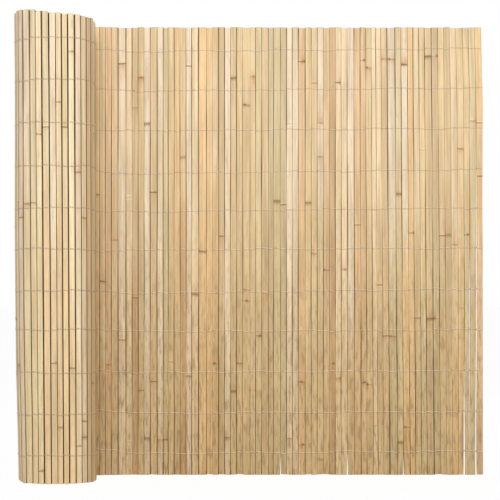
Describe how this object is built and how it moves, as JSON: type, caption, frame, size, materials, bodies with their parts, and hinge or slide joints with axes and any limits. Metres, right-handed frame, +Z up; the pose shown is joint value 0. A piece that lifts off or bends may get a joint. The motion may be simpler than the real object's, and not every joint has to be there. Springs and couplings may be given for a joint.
{
  "type": "bamboo slat screen",
  "caption": "Roll of split bamboo slats bound by rows of thin wire, with one end opened out into a flat fence panel, standing on its slat ends.",
  "frame": {"origin": "on the floor that the slat ends stand on, at the middle of the footprint of roll and panel", "axes": "+X along the open panel, away from the roll; +Y from the front of the panel to its back; +Z up the slats"},
  "size_m": [1.0302, 0.199, 1.0094],
  "materials": {
    "panel_slats": "dry split bamboo, satin",
    "rolled_slats": "dry split bamboo, satin",
    "binding_wire": "dull galvanised wire"
  },
  "bodies": {
    "root": {"binding_wires": "binding_wire", "lead_off_slats": "rolled_slats", "roll": "rolled_slats", "slat_01": "panel_slats", "slat_02": "panel_slats", "slat_03": "panel_slats", "slat_04": "panel_slats", "slat_05": "panel_slats", "slat_06": "panel_slats", "slat_07": "panel_slats", "slat_08": "panel_slats", "slat_09": "panel_slats", "slat_10": "panel_slats", "slat_11": "panel_slats", "slat_12": "panel_slats", "slat_13": "panel_slats", "slat_14": "panel_slats", "slat_15": "panel_slats", "slat_16": "panel_slats", "slat_17": "panel_slats", "slat_18": "panel_slats", "slat_19": "panel_slats", "slat_20": "panel_slats", "slat_21": "panel_slats", "slat_22": "panel_slats", "slat_23": "panel_slats", "slat_24": "panel_slats", "slat_25": "panel_slats", "slat_26": "panel_slats", "slat_27": "panel_slats", "slat_28": "panel_slats", "slat_29": "panel_slats", "slat_30": "panel_slats", "slat_31": "panel_slats", "slat_32": "panel_slats", "slat_33": "panel_slats", "slat_34": "panel_slats", "slat_35": "panel_slats", "slat_36": "panel_slats", "slat_37": "panel_slats", "slat_38": "panel_slats", "slat_39": "panel_slats", "slat_40": "panel_slats", "slat_41": "panel_slats", "slat_42": "panel_slats", "slat_43": "panel_slats", "slat_44": "panel_slats", "slat_45": "panel_slats", "slat_46": "panel_slats", "slat_47": "panel_slats", "slat_48": "panel_slats", "slat_49": "panel_slats", "slat_50": "panel_slats", "slat_51": "panel_slats", "slat_52": "panel_slats", "slat_53": "panel_slats", "slat_54": "panel_slats", "slat_55": "panel_slats", "slat_56": "panel_slats", "slat_57": "panel_slats"}
  },
  "joints": []
}
